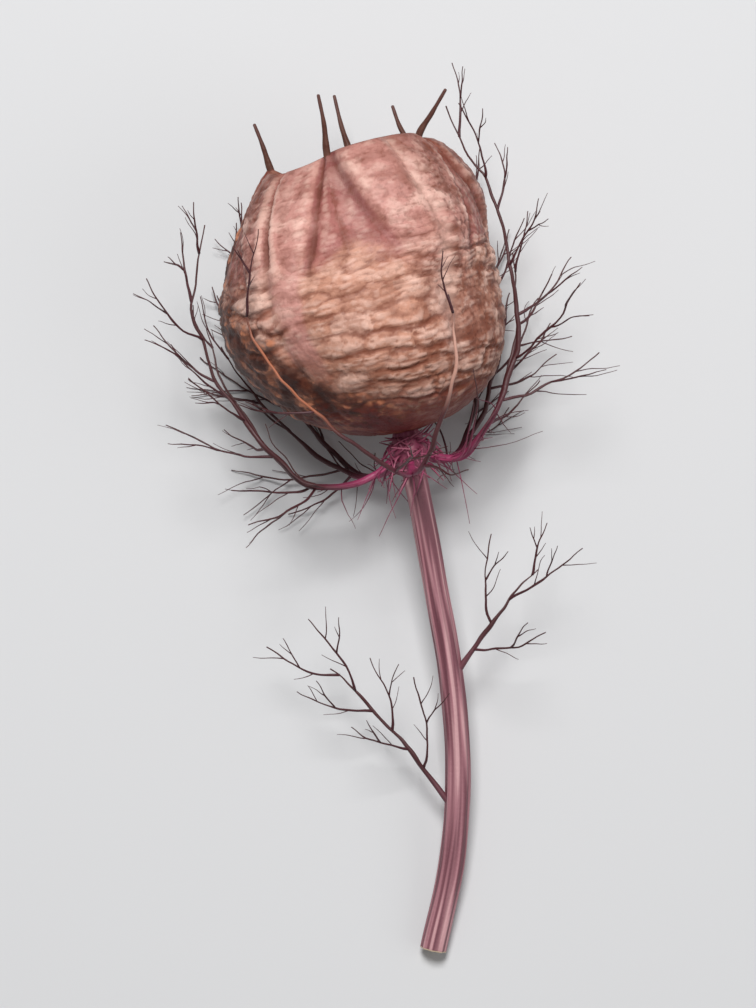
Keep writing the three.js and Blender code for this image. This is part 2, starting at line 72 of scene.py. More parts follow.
# %% The pod's own frame
CAPSULE_HEIGHT = 24.0
CAPSULE_RADIUS = 12.4
WIDEST_AT = 0.5
POD_TURN = math.radians(12)
POD_LIFT = math.radians(9)
FLAT_SPOT_DEPTH = 0.6
BELLY_SHIFT = 1.65

crown_ward = np.array([
    -math.sin(POD_TURN) * math.cos(POD_LIFT),
    math.cos(POD_TURN) * math.cos(POD_LIFT),
    math.sin(POD_LIFT),
])
right_ward = np.array([math.cos(POD_TURN), math.sin(POD_TURN), 0.0])
POD_AXES = np.stack([np.cross(right_ward, crown_ward), right_ward, crown_ward])
POD_ORIGIN = right_ward * BELLY_SHIFT - crown_ward * CAPSULE_HEIGHT * WIDEST_AT
POD_ORIGIN[2] += CAPSULE_RADIUS - FLAT_SPOT_DEPTH


def from_pod(points):
    """Places on the table of points laid out round a straight axis. The belly bulges to the left of it."""
    bulge = BELLY_SHIFT * np.sin(np.pi * np.clip(points[..., 2] / CAPSULE_HEIGHT, 0, 1)) ** 2
    return (points - bulge[..., None] * np.array([0, 1, 0])) @ POD_AXES + POD_ORIGIN


def pod_point(radius, turn, height):
    """Points at distances from the pod's axis, turns round it and heights above the capsule's base."""
    return np.stack(np.broadcast_arrays(radius * np.cos(turn), radius * np.sin(turn), height), axis=-1)


def lerp(start, end, share):
    return start + (end - start) * share


def smoothstep(value, low, high):
    share = np.clip((value - low) / (high - low), 0, 1)
    return share * share * (3 - 2 * share)


def hump(value, width):
    """A bell of height 1 at zero."""
    return np.exp(-((value / width) ** 2))


print("crown of the capsule, mm:", from_pod(np.array([0, 0, CAPSULE_HEIGHT])).round(1))

# %% [markdown]
# ## The wall's form
#
# Five carpels make the wall. Across a carpel, 0 is the line below its horn and ±0.5 are the seams to its
# neighbours. In the upper part a three-cornered facet lies below each horn between two swollen panels.

# %% The wall's form
HORN_TURNS = np.array([-16.0, 67.0, 127.0, 176.0, 273.0])
BASE_ROUNDNESS = 2.15
SHOULDER_POWER = 2.8
CROWN_RADIUS = 7.1
CROWN_DISH = 2.0
FACET_FOOT = 0.66
FACET_TOP_WIDTH = 0.07
FACET_FOOT_WIDTH = 0.29
FACET_EDGE = 0.04
SEAM_WIDTH = 0.045
CARPEL_TWIST = math.radians(12)
TWIST_DEPTH = 0.35
FIN_RISE = 1.25
SEAM_RISES = np.array([1.8, 0.7, 0.4, 0.3, 0.3])
HIGHEST_RIM = CAPSULE_HEIGHT + max(FIN_RISE, SEAM_RISES.max())


def nearest_carpel(turn):
    """Which carpel a turn lies on, and the signed share of it from the line below its horn."""
    offset = (np.degrees(turn)[..., None] - HORN_TURNS + 180) % 360 - 180
    gap_after = (np.roll(HORN_TURNS, -1) - HORN_TURNS) % 360
    gap_before = (HORN_TURNS - np.roll(HORN_TURNS, 1)) % 360
    shares = offset / np.where(offset < 0, gap_before, gap_after)
    nearest = np.abs(shares).argmin(axis=-1)
    return nearest, np.take_along_axis(shares, nearest[..., None], axis=-1)[..., 0]


def carpel_share(turn):
    return nearest_carpel(turn)[1]


def untwisted(turn, share):
    """A turn without the twist by which the carpels turn to the right of their horns below the crown."""
    return turn - CARPEL_TWIST * smoothstep(1 - share, 0, TWIST_DEPTH)


def wall_radius(share):
    """The smooth wall's radius at a share of the capsule's height."""
    below = np.clip(1 - share / WIDEST_AT, 0, 1)
    above = np.clip((share - WIDEST_AT) / (1 - WIDEST_AT), 0, 1)
    lower = CAPSULE_RADIUS * (1 - below**BASE_ROUNDNESS) ** (1 / BASE_ROUNDNESS)
    upper = lerp(CAPSULE_RADIUS, CROWN_RADIUS, above**SHOULDER_POWER)
    return np.where(share < WIDEST_AT, lower, upper)


def facet_width(share):
    return lerp(FACET_FOOT_WIDTH, FACET_TOP_WIDTH, np.clip((share - FACET_FOOT) / (1 - FACET_FOOT), 0, 1))


def wall_relief(turn, share):
    """How far the wall stands out of its smooth radius, as in the solid model."""
    away = np.abs(carpel_share(untwisted(turn, share)))
    from_seam = 0.5 - away
    upper = smoothstep(share, 0.36, 0.7)
    width = facet_width(share)
    facet = 1 - smoothstep(away, width - FACET_EDGE, width + FACET_EDGE)
    panel = (1 - facet) * (1 - np.clip(from_seam / (0.5 - width), 0, 1) ** 2)
    rib = hump(away, 0.04) * smoothstep(share, 0.6, 0.8)
    seam_depth = 0.26 * smoothstep(share, 0.02, 0.2) + 0.55 * smoothstep(share, 0.66, 0.95)
    lobe = 0.15 * np.cos(2 * np.pi * away) * smoothstep(share, 0.05, 0.3) * (1 - upper)
    sunk = 0.45 * facet * smoothstep(share, 0.56, 0.72)
    return 0.8 * panel * upper + 0.4 * rib + lobe - sunk - seam_depth * hump(from_seam, SEAM_WIDTH)


def rim_rise(turn):
    """How far the rim climbs to the foot of each horn and at each seam."""
    number, across = nearest_carpel(turn)
    seam_rise = SEAM_RISES[np.where(across > 0, number, number - 1)]
    return lerp(seam_rise, FIN_RISE, np.exp(-np.abs(across) / 0.23))


def wall_point(turn, share):
    height = CAPSULE_HEIGHT * share + rim_rise(turn) * smoothstep(share, 0.72, 1) ** 1.5
    return pod_point(np.maximum(wall_radius(share) + wall_relief(turn, share), 0), turn, height)


def crown_point(turn, inward):
    """The crown: a dish that falls from the rim to the middle, with a slit along each seam."""
    rim = wall_point(turn, np.ones_like(turn))
    outward = 1 - inward
    slit = 0.5 * hump(0.5 - np.abs(carpel_share(turn)), SEAM_WIDTH) * 4 * inward * outward
    height = lerp(CAPSULE_HEIGHT - CROWN_DISH, rim[..., 2], outward**1.6) - slit
    return pod_point(np.hypot(rim[..., 0], rim[..., 1]) * outward, turn, height)


AROUND = 430
WALL_ROWS = 188
CROWN_ROWS = 30
turns = np.linspace(-np.pi, np.pi, AROUND, endpoint=False)
row_shares = np.linspace(0.004, 1, WALL_ROWS)
eased = np.where(row_shares < 0.5, WIDEST_AT * (1 - np.cos(np.pi * row_shares)), row_shares)
inward_shares = np.linspace(0, 1, CROWN_ROWS + 1)[1:] * 0.985
turn_grid, share_grid = np.meshgrid(turns, eased)
crown_turns, inward_grid = np.meshgrid(turns, inward_shares)
wall = wall_point(turn_grid, share_grid)
crown = crown_point(crown_turns, inward_grid)
print("wall grid:", wall.shape, "crown grid:", crown.shape)

# %% [markdown]
# ## Pads, creases and seams
#
# A drying wall shrinks. Over the middle of each carpel it puckers into rows of small pads with grooves between
# them, and along the edges of the facets it creases. One crease goes on down to the base. A brick pattern with
# jittered middles gives the pads their rows, which plain noise would not. Relief is moved along the normal.

# %% Noise and pads on the wall
HASH = (12.9898, 78.233, 37.719, 43758.5453)
SIDE_JOINT = 0.16  # how much shallower the grooves between pads of one row are


def noise_at(points, scales):
    """Smooth noise from about -1 to 1 at each point, with a scale for each axis."""
    scaled = points.reshape(-1, 3) / np.array(scales)
    return np.array([noise.noise(Vector(place)) for place in scaled]).reshape(points.shape[:-1])


def hashed(columns, rows, salt):
    """An even draw from 0 to 1 for each pair of whole numbers."""
    return np.modf(np.abs(np.sin(columns * HASH[0] + rows * HASH[1] + salt * HASH[2]) * HASH[3]))[0]


def pads_at(across, along, count):
    """Jittered bricks, count of them round the pod. Returns the difference of the distances to the two nearest
    middles, which is 0 in the grooves between rows, and a draw for the nearest brick."""
    nearest = np.full(across.shape, np.inf)
    second = nearest.copy()
    draws = np.zeros(across.shape)
    nearest_row = np.zeros(across.shape)
    second_row = np.zeros(across.shape)
    for row_step in (-1, 0, 1):
        row = np.floor(along) + row_step
        offset = 0.5 * (row % 2)
        for column_step in (-1, 0, 1):
            column = np.floor(across - offset) + column_step
            key = column % count
            middle_across = column + offset + lerp(0.2, 0.8, hashed(key, row, 1))
            middle_along = row + lerp(0.25, 0.75, hashed(key, row, 2))
            distance = np.hypot(across - middle_across, along - middle_along)
            closer = distance < nearest
            runner_up = ~closer & (distance < second)
            second_row = np.where(closer, nearest_row, np.where(runner_up, row, second_row))
            nearest_row = np.where(closer, row, nearest_row)
            second = np.where(closer, nearest, np.minimum(second, distance))
            draws = np.where(closer, hashed(key, row, 3), draws)
            nearest = np.minimum(nearest, distance)
    return second - nearest + SIDE_JOINT * (nearest_row == second_row), draws


def normals_of(grid):
    """Outward normals of a grid whose columns go round the pod."""
    along_rows = np.gradient(grid, axis=0)
    around = np.roll(grid, -1, axis=1) - np.roll(grid, 1, axis=1)
    crossed = np.cross(around, along_rows)
    return crossed / np.maximum(np.linalg.norm(crossed, axis=-1, keepdims=True), 1e-9)


def blurred(grid, reach):
    """Means over the points up to a reach away, along and round the grid."""
    padded = np.pad(grid, ((reach, reach), (0, 0)), mode="edge")
    steps = range(2 * reach + 1)
    along_rows = sum(padded[step : step + len(grid)] for step in steps) / len(steps)
    return sum(np.roll(along_rows, step - reach, axis=1) for step in steps) / len(steps)


PAD_COUNT = 17
PAD_HEIGHT = 1.85
WRINKLE_COUNT = 50
WRINKLE_HEIGHT = 0.62

carpel_turns = untwisted(turn_grid, share_grid)
carpel_number, carpel = nearest_carpel(carpel_turns)
broad = noise_at(wall + 11, (6, 6, 5))
medium = noise_at(wall + 23, (2.4, 2.4, 2.0))
fine = noise_at(wall + 97, (0.6, 0.6, 0.4))
streaks = noise_at(wall + 53, (0.9, 0.9, 6))
steps_up = np.hypot(np.diff(wall_radius(eased)), np.diff(eased) * CAPSULE_HEIGHT)
climb = np.concatenate([[0], steps_up.cumsum()])[:, None]
pad_gap, pad_draw = pads_at(
    carpel_turns / (2 * np.pi) * PAD_COUNT + 0.3 * medium, climb / PAD_HEIGHT + 0.3 * broad + 0.18 * medium, PAD_COUNT
)
wrinkle_gap, wrinkle_draw = pads_at(
    carpel_turns / (2 * np.pi) * WRINKLE_COUNT + 1.1 * medium + 0.2 * fine,
    climb / WRINKLE_HEIGHT + 1.3 * broad + 1.0 * medium,
    WRINKLE_COUNT,
)
print("pad gaps:", pad_gap.mean().round(2), "on average, wrinkle gaps:", wrinkle_gap.mean().round(2))

# %% Pads, creases and seams
PAD_DEPTH = 0.3
WRINKLE_DEPTH = 0.13
CREASE_DEPTH = 0.2
CREASE_WIDTH = 0.02
BANDS = np.array([1.0, 0.25, 0.7, 0.5, 0.6])  # for each carpel, how smooth the strip along its left seam stays
SLITS = np.array([0.2, 0.6, 0.7, 0.6, 1.0])  # how far the seam after each carpel has split open

away = np.abs(carpel)
from_seam = 0.5 - away
split = SLITS[np.where(carpel > 0, carpel_number, carpel_number - 1)]
width = facet_width(share_grid)
facet_zone = smoothstep(share_grid + 0.02 * medium, FACET_FOOT - 0.03, FACET_FOOT + 0.03)
facet = (1 - smoothstep(away, width - 0.015, width + 0.015)) * facet_zone
band = smoothstep(-carpel + 0.02 * medium, FACET_FOOT_WIDTH - 0.02, FACET_FOOT_WIDTH + 0.03)
band *= 1 - smoothstep(-carpel + 0.12 * medium + 0.08 * fine, 0.38, 0.56)
band = np.maximum(band, 0.5 * smoothstep(carpel + 0.1 * medium, 0.38, 0.5)) * BANDS[carpel_number]
below_facet = 1 - smoothstep(share_grid + 0.06 * medium, FACET_FOOT - 0.05, FACET_FOOT + 0.07)
upper_panel = smoothstep(away, width, width + 0.05) * smoothstep(share_grid, 0.5, 0.75)
puckered = smoothstep(share_grid, 0.05, 0.16) * (1 - 0.7 * band) * np.maximum(below_facet, 0.4 * upper_panel)
puckered *= 0.45 + 0.55 * smoothstep(broad + 0.6 * medium, -0.4, 0.3)

pads = (smoothstep(pad_gap, 0.0, 0.6) - 0.6) * (0.55 + 0.6 * pad_draw) * puckered
wrinkles = (smoothstep(wrinkle_gap, 0.0, 0.55) - 0.6) * (0.3 + 0.7 * puckered)
# Grooves between pads and wrinkles, which the skin paints with shade.
groove = (1 - smoothstep(pad_gap, 0.0, 0.24)) * puckered * smoothstep(medium + 0.5 * fine, -0.65, 0.1)
groove = np.maximum(groove, (1 - smoothstep(wrinkle_gap, 0.0, 0.2)) * smoothstep(fine, -0.3, 0.4) * (0.3 + 0.4 * puckered))

left_edge = carpel + np.where(share_grid > FACET_FOOT, width, FACET_FOOT_WIDTH + 0.015 * broad) - FACET_EDGE
crease = hump(left_edge, CREASE_WIDTH) * smoothstep(share_grid, 0.06, 0.25) * lerp(0.35, 1, BANDS[carpel_number])
crease *= lerp(0.3, 1, smoothstep(share_grid, 0.45, 0.85)) * (0.5 + 0.5 * smoothstep(medium + 0.5 * fine, -0.4, 0.3))
right_fade = smoothstep(share_grid + 0.03 * medium, FACET_FOOT - 0.03, FACET_FOOT + 0.28)
crease = np.maximum(crease, 0.5 * hump(carpel - width + FACET_EDGE, 0.6 * CREASE_WIDTH) * right_fade)
lip = hump(away - width - 0.06, 0.035) * right_fade
slit = hump(from_seam, 0.018) * smoothstep(share_grid + 0.03 * medium, 0.66, 0.78) * split
slit_lip = hump(from_seam - 0.055, 0.03) * smoothstep(share_grid, 0.62, 0.76) * split
closed = hump(from_seam, SEAM_WIDTH) * smoothstep(share_grid, 0.66, 0.95) * (1 - split)
middle_rib = hump(away, 0.05) * smoothstep(share_grid, 0.6, 0.8) * (1 - smoothstep(share_grid, 0.85, 0.97))
relief = PAD_DEPTH * pads + WRINKLE_DEPTH * wrinkles + 0.03 * fine + 0.07 * streaks * (1 - puckered) + 0.08 * medium
relief += 0.12 * lip + 0.16 * slit_lip + 0.4 * closed - 0.3 * middle_rib - CREASE_DEPTH * crease - 0.35 * slit
relief *= 1 - smoothstep(share_grid, 0.97, 1.0)
# Painted light: ridges of the relief are painted lighter as highlights and its hollows darker as shade.
cavity = np.clip((relief - blurred(relief, 6)) / 0.12, -1, 1)
relief += 0.22 * broad * smoothstep(share_grid, 0.03, 0.15) * (1 - smoothstep(share_grid, 0.9, 1.0))
wall = wall + normals_of(wall) * relief[..., None]
crown_relief = 0.14 * noise_at(crown, (1.2, 1.2, 1.2)) * 4 * inward_grid * (1 - inward_grid)
crown[..., 2] += crown_relief
print("relief, mm:", round(float(relief.min()), 2), "to", round(float(relief.max()), 2))

# %% [markdown]
# ## Tubes along curves
#
# Horns, threads and the stem are all tubes along smooth curves. The curve passes through its points and is read
# by its share of arc length. A tube's rings are carried along without twist, and its tip is rounded.

# %% Tubes along curves


class Curve:
    """A centripetal Catmull-Rom curve through points."""

    def __init__(self, points):
        points = np.asarray(points, float)
        ends = [2 * points[0] - points[1], *points, 2 * points[-1] - points[-2]]
        pieces = []
        for before, start, end, after in zip(ends, ends[1:], ends[2:], ends[3:]):
            first, middle, last = (np.linalg.norm(b - a) ** 0.5 for a, b in ((before, start), (start, end), (end, after)))
            leave = ((start - before) / first - (end - before) / (first + middle) + (end - start) / middle) * middle
            arrive = ((end - start) / middle - (after - start) / (middle + last) + (after - end) / last) * middle
            t = np.linspace(0, 1, 24, endpoint=False)[:, None]
            bent = (2 * start - 2 * end + leave + arrive) * t**3
            pieces.append(start + leave * t + (3 * end - 3 * start - 2 * leave - arrive) * t**2 + bent)
        self.path = np.concatenate([*pieces, points[-1:]])
        self.lengths = np.concatenate([[0], np.linalg.norm(np.diff(self.path, axis=0), axis=1).cumsum()])

    @property
    def length(self):
        return self.lengths[-1]

    def at(self, share):
        """Points at shares of the length."""
        return np.stack([np.interp(np.asarray(share) * self.length, self.lengths, axis) for axis in self.path.T], -1)

    def tangent(self, share):
        way = self.at(min(share + 0.01, 1)) - self.at(max(share - 0.01, 0))
        return way / np.linalg.norm(way)


def unit(vector):
    return vector / np.linalg.norm(vector)


ROUND_END = ((0.86, 0.35), (0.5, 0.65))


class Tubes:
    """Meshes of many tubes gathered into one, with values that every tube gives its points."""

    def __init__(self):
        self.points = []
        self.faces = []
        self.values = {}
        self.count = 0

    def add(self, points, faces, **values):
        self.points.append(points)
        self.faces.extend(tuple(index + self.count for index in face) for face in faces)
        for name, value in values.items():
            self.values.setdefault(name, []).append(np.broadcast_to(value, len(points)))
        self.count += len(points)

    def tube(self, curve, steps, sides, radius_at, ends=ROUND_END, **values):
        """A tube whose radius depends on the share along it and the angle round it. ends are rings past the last
        one, as shares of its radius and distances in radii. Values may depend on the share and the angle too."""
        shares = np.linspace(0, 1, steps + 1)
        centres = curve.at(shares)
        ways = np.gradient(centres, axis=0)
        ways /= np.linalg.norm(ways, axis=1, keepdims=True)
        side = unit(np.cross(ways[0], ways[0][[1, 2, 0]] + 0.3))
        angles = np.linspace(0, 2 * np.pi, sides, endpoint=False)
        rings = []
        for share, centre, way in zip(shares, centres, ways):
            side = unit(side - way * (side @ way))
            radius = np.broadcast_to(radius_at(share, angles), sides)[:, None]
            turned = np.cos(angles)[:, None] * side + np.sin(angles)[:, None] * np.cross(way, side)
            rings.append(centre + radius * turned)
        last = rings[-1]
        reach = np.linalg.norm(last - centres[-1], axis=1).mean() * ways[-1]
        for scale, distance in ends:
            rings.append(centres[-1] + scale * (last - centres[-1]) + distance * reach)
        points = np.concatenate([*rings, centres[:1], rings[-1].mean(axis=0, keepdims=True)])
        faces = ring_faces(len(rings), sides)
        top = (len(rings) - 1) * sides
        for index in range(sides):
            after = (index + 1) % sides
            faces.append((after, index, len(points) - 2))
            faces.append((top + index, top + after, len(points) - 1))
        along = np.concatenate([np.repeat(shares, sides), np.ones(len(ends) * sides), [0, 1]])
        around = np.concatenate([np.tile(angles, len(rings)), [0, 0]])
        made = {name: value(along, around) if callable(value) else value for name, value in values.items()}
        self.add(points, faces, **made)


def ring_faces(rows, columns):
    """Quads between rows of points that each close on themselves."""
    faces = []
    for row in range(rows - 1):
        for column in range(columns):
            after = (column + 1) % columns
            low = row * columns
            high = low + columns
            faces.append((low + column, low + after, high + after, high + column))
    return faces


print("a curve through three points is", Curve([[0, 0, 0], [0, 0, 3], [0, 1, 6]]).length.round(2), "mm long")

# %% [markdown]
# ## Making a piece
#
# Every piece is one mesh in metres that rides on the only body, stands for nodes of the solid model and carries
# values at its points, which its material reads.

# %% Making a piece


def add_piece(name, nodes, points, faces, values):
    """A smooth mesh object from points in millimetres on the table."""
    mesh = bpy.data.meshes.new(name)
    mesh.from_pydata((points * MM).tolist(), [], faces)
    mesh.shade_smooth()
    for key, value in values.items():
        mesh.attributes.new(key, "FLOAT", "POINT").data.foreach_set("value", np.ascontiguousarray(value, np.float32))
    piece = bpy.data.objects.new(name, mesh)
    bpy.context.scene.collection.objects.link(piece)
    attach(piece, "root")
    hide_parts(*nodes)
    triangles = sum(len(face) - 2 for face in faces)
    print(name, "has", len(points), "points and", triangles, "triangles")
    return piece


# %% [markdown]
# ## The capsule and its horns
#
# The wall and the crown are rows of one closed grid. The horns are dried styles, so they taper to a blunt tip,
# bend a little and broaden where they run out into the rim.

# %% The capsule and its horns
HORNS = [
    {"turn": -16, "length": 5.1, "lean": 3, "swing": 5},
    {"turn": 67, "length": 4.5, "lean": 40, "swing": 4},
    {"turn": 127, "length": 3.4, "lean": -6, "swing": 14},
    {"turn": 176, "length": 5.4, "lean": 5, "swing": 4},
    {"turn": 273, "length": 4.0, "lean": 4, "swing": 0},
]
HORN_ROOT_RADIUS = 0.46
HORN_TIP_RADIUS = 0.15
HORN_SUNK = 1.5
DARK_EDGE_SHARES = (0, 0.09, 0.18, 0.28, 0.45, 0.62, 1)  # where the dark lower left of the wall begins
DARK_EDGE_TURNS = (0.1, 0.05, -0.3, -0.59, -0.77, -1.25, -1.9)


def horn_curve(turn, length, lean, swing):
    turn = np.radians(turn)
    foot = wall_point(turn, np.array(1.0))
    outward = pod_point(1, turn, 0)
    sideways = pod_point(1, turn + np.pi / 2, 0)
    way = np.array([0, 0, 1]) + outward * math.tan(math.radians(lean)) + sideways * math.tan(math.radians(swing))
    way = unit(way)
    root = foot - 0.35 * outward - np.array([0, 0, HORN_SUNK])
    tip = foot + length * way + 0.05 * length * outward
    return Curve([root, foot - 0.1 * outward, foot + 0.5 * length * way + 0.1 * sideways, tip])


def horn_radius(share, angle):
    flared = HORN_TIP_RADIUS + (HORN_ROOT_RADIUS - HORN_TIP_RADIUS) * (1 - share) ** 1.8
    return flared * (1 + 0.06 * np.cos(3 * angle + 5 * share) + 0.05 * math.sin(23 * share))


def capsule_values():
    """What the skin reads at the points of the wall, the crown and their two middle points."""
    crown_away = np.abs(carpel_share(crown_turns))
    none = np.zeros_like(inward_grid)
    faded = share_grid + 0.14 * medium + 0.08 * broad + 0.05 * fine
    panels = smoothstep(away + 0.03 * medium, width - 0.06, width + 0.02) * smoothstep(faded, 0.4, 0.8)
    # The flanks, away from the side that faces up, are painted browner: partly their own mottles, partly painted shade.
    flank = np.maximum(
        smoothstep(-turn_grid + 0.2 * medium, 0.7, 1.15), 0.8 * smoothstep(turn_grid + 0.25 * medium, 0.15, 0.85)
    )
    # The lower left is painted darker: partly the wall's own dark brown and partly painted shade.
    past_edge = np.interp(share_grid, DARK_EDGE_SHARES, DARK_EDGE_TURNS) - turn_grid
    dark = smoothstep(past_edge + 0.2 * medium + 0.08 * fine, -0.1, 0.2) * (1 - smoothstep(past_edge, 1.2, 2.2))
    glint = hump(past_edge - 0.1 + 0.05 * medium, 0.09) * hump(share_grid - 0.15 + 0.02 * medium, 0.06)
    shade = (hump(carpel - width, 0.11) * right_fade + 0.3 * hump(carpel + width, 0.06) * facet_zone) * facet
    seam = hump(from_seam - 0.01, 0.035) * (1 - split) * smoothstep(share_grid, 0.2, 0.5) * (0.6 + 0.5 * medium)
    parts = {
        "share": (share_grid, 1 + 0.2 * inward_grid),
        "pink": (np.maximum(panels, band * smoothstep(share_grid + 0.06 * medium, 0.1, 0.4)), none),
        "facet": ((1 - smoothstep(away, width - 0.015, width + 0.015)) * smoothstep(faded, 0.56, 0.74), none),
        "shade": (shade, none),
        "cavity": (cavity, np.clip(crown_relief / 0.1, -1, 1)),
        "groove": (groove, none),
        "pad": ((pad_draw - 0.5) * (0.3 + 0.7 * puckered), none),
        # Creases, slits and the crown's seam slits, which the skin paints with shade.
        "crease": (np.maximum(crease, slit) * (0.75 + 0.4 * medium), hump(0.5 - crown_away, 0.03)),
        "flank": (flank, 1 - hump(crown_turns + 0.15, 0.95)),
        "dark": (dark, none),
        "glint": (glint * smoothstep(fine + medium, -0.4, 0.2), none),
        "seam": (np.clip(seam, 0, 1), none),
        "horn": (np.zeros_like(share_grid), none),
    }
    made = {}
    for name, (on_wall, on_crown) in parts.items():
        made[name] = np.concatenate([on_wall.ravel(), on_crown.ravel(), [on_wall[0, 0], on_crown[-1, 0]]])
    return made


rows = WALL_ROWS + CROWN_ROWS
grid_points = np.concatenate([wall.reshape(-1, 3), crown.reshape(-1, 3)])
base_middle = np.array([[0, 0, 0.0]])
crown_middle = np.array([[0, 0, crown[-1, :, 2].mean()]])
grid_faces = ring_faces(rows, AROUND)
for index in range(AROUND):
    after = (index + 1) % AROUND
    top = (rows - 1) * AROUND
    grid_faces.append((after, index, rows * AROUND))
    grid_faces.append((top + index, top + after, rows * AROUND + 1))
capsule_mesh = Tubes()
capsule_mesh.add(np.concatenate([grid_points, base_middle, crown_middle]), grid_faces, **capsule_values())
for horn in HORNS:
    capsule_mesh.tube(
        horn_curve(**horn), 40, 16, horn_radius,
        share=1.0, pink=0.0, facet=0.0, shade=0.0, cavity=0.0, groove=0.0, pad=0.0, crease=0.0, flank=0.0,
        dark=0.0, glint=0.0, seam=0.0, horn=lambda along, around: 0.1 + 0.9 * along,
    )
capsule_points = from_pod(np.concatenate(capsule_mesh.points))
capsule_points[:, 2] = np.maximum(capsule_points[:, 2], 0)
capsule_values_all = {name: np.concatenate(parts) for name, parts in capsule_mesh.values.items()}
capsule = add_piece("capsule_skin", ["capsule"], capsule_points, capsule_mesh.faces, capsule_values_all)

# %% [markdown]
# ## Bracts
#
# Each bract is a rib that leaves the collar, swings out and climbs round the capsule, with a side rib and with
# threads to both sides in turn. The same seeded draws as in the solid model place them. A second stream of
# draws adds what is thinner: forks on every thread, hair ends near the root, and small kinks.

# %% Rules for threads
RIB_ROUTE = [
    (0.95, -1.7), (3.2, -3.1), (6.6, -3.7), (10.2, -2.3), (12.7, 1.4), (13.9, 6), (14.2, 11), (13.7, 15.5),
    (11.8, 20), (9.8, 24.2), (9.2, 28),
]
BRACTS = [
    {"turn": -4, "tuck": 1, "ribs": [(-40, 0.66, 0.4), (34, 0.56, 1)], "threads": (3, 2)},
    {"turn": 68, "tuck": 3.4, "ribs": [(14, 0.98, 0.2), (30, 0.6, 2)], "threads": (7, 4)},
    {"turn": 140, "tuck": 2, "ribs": [(-4, 0.86, 2), (-20, 0.56, 2)], "threads": (7, 4)},
    {"turn": 212, "tuck": 0.5, "ribs": [(12, 0.8, 2), (32, 0.55, 2)], "threads": (7, 4)},
    {"turn": 284, "tuck": 0, "ribs": [(-6, 0.84, 3.4), (-30, 0.6, 2)], "threads": (7, 4)},
]
CLEAR_OF_CAPSULE = 0.6
CLEAR_OF_TABLE = 0.06
SOLID_RIB_RADIUS = 0.38
SOLID_THREAD_RADIUS = 0.22
RIB_RADII = (0.3, 0.06)
THREAD_RADII = (0.13, 0.05)
FORK_RADII = (0.09, 0.04)
FINE_RADII = (0.055, 0.025)
THREAD_LEAST = 5.5
SEED = 41
FINE_SEED = 900


def seeded_draws(seed):
    """A stream of even draws from 0 to 1, the same as the solid model's."""
    state = seed
    while True:
        state = (state + 0x6D2B79F5) & 0xFFFFFFFF
        mixed = ((state ^ (state >> 15)) * (1 | state)) & 0xFFFFFFFF
        mixed = (mixed + (((mixed ^ (mixed >> 7)) * (61 | mixed)) & 0xFFFFFFFF)) & 0xFFFFFFFF ^ mixed
        yield ((mixed ^ (mixed >> 14)) & 0xFFFFFFFF) / 4294967296


table_normal = POD_AXES[:, 2]


def cleared_in_pod(point, radius):
    """Moves a point out of the capsule and up off the table, by turns."""
    for _ in range(12):
        share = np.clip(point[2] / CAPSULE_HEIGHT, 0, 1)
        turn = np.arctan2(point[1], point[0])
        least = wall_radius(share) + max(wall_relief(turn, share), 0) + CLEAR_OF_CAPSULE + radius
        distance = math.hypot(point[0], point[1])
        if 0 < point[2] < HIGHEST_RIM and distance < least:
            point = point * np.array([least / distance, least / distance, 1])
        low = radius + CLEAR_OF_TABLE - (table_normal @ point + POD_ORIGIN[2])
        if low > 0:
            point = point + table_normal * low
    return point


def cleared_on_table(point, radius):
    return np.array([point[0], point[1], max(point[2], radius + CLEAR_OF_TABLE)])


def thread_curve(start, way, bend, length, radius, cleared):
    """A thread that leaves start along a direction and bends as it goes."""
    points = [start]
    for share in (0.3, 0.65, 1):
        points.append(cleared(start + way * length * share + bend * length * share**2, radius))
    return Curve(points)


def turned_about(vector, axis, angle):
    """A vector turned about an axis of length 1."""
    cross = np.cross(axis, vector)
    return vector * math.cos(angle) + cross * math.sin(angle) + axis * (axis @ vector) * (1 - math.cos(angle))


def tapered(radii):
    """A taper from a root radius to a tip radius, with slight swellings."""
    root, tip = radii
    return lambda share, angle: lerp(root, tip, share) * (1 + 0.07 * math.sin(19 * share) + 0.05 * np.cos(2 * angle))


